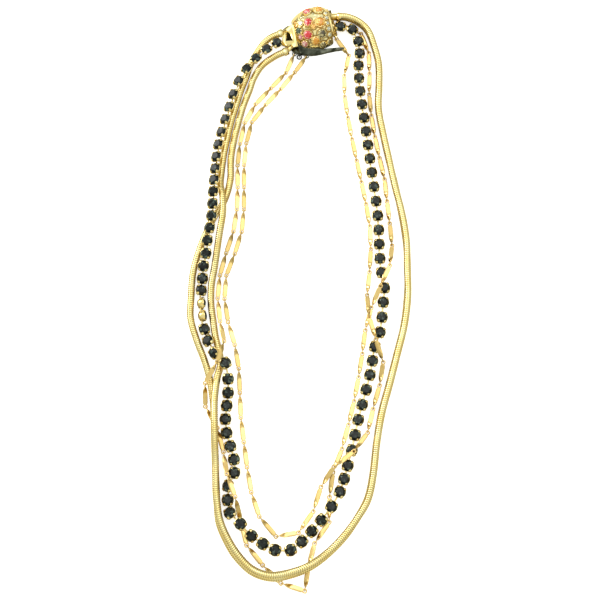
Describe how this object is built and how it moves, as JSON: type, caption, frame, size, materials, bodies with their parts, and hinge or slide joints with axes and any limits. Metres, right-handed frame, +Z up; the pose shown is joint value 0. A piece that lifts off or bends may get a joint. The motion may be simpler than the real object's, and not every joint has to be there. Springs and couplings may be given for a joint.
{
  "type": "multi-strand necklace",
  "caption": "Necklace of snake chains, twisted bar chains and a jet rhinestone chain on one domed barrel clasp set with coloured stones, lying closed in a loop",
  "frame": {"origin": "centre of the bounding box on the surface the necklace lies on", "axes": "+Z up from the surface, +Y along the length towards the clasp, +X to the right in the picture"},
  "size_m": [0.0842, 0.2273, 0.0088],
  "materials": {
    "gold": "polished",
    "snake_gold": "fine ribbed",
    "gunmetal": "dark plated",
    "jet_stone": "polished facets",
    "red_stone": "polished facets",
    "pink_stone": "polished facets",
    "green_stone": "polished facets",
    "orange_stone": "polished facets",
    "smoke_stone": "polished facets",
    "clear_stone": "polished facets"
  },
  "bodies": {
    "root": {"clasp_dome": "gold", "clasp_back": "gunmetal", "end_frame_left": "gold", "end_bar_right": "gold", "ring_hook": "gunmetal", "stone_red_1": "red_stone", "stone_red_2": "red_stone", "stone_red_3": "red_stone", "stone_pink_1": "pink_stone", "stone_white_1": "clear_stone", "stone_green_1": "green_stone", "stone_orange_1": "orange_stone", "stone_orange_2": "orange_stone", "stone_orange_3": "orange_stone", "stone_orange_4": "orange_stone", "stone_smoke_1": "smoke_stone", "stone_smoke_2": "smoke_stone", "stone_smoke_3": "smoke_stone", "stone_blush_1": "pink_stone", "stone_clear_1": "clear_stone", "stone_clear_2": "clear_stone", "stone_clear_3": "clear_stone", "stone_clear_4": "clear_stone", "stone_clear_5": "clear_stone", "bead_amber_1": "orange_stone", "bead_amber_2": "orange_stone", "rhinestone_chain_left": "jet_stone", "rhinestone_chain_right": "jet_stone", "bar_chain_outer": "gold", "bar_chain_inner": "gold", "snake_chain_outer": "snake_gold", "snake_chain_inner": "snake_gold"}
  },
  "joints": []
}
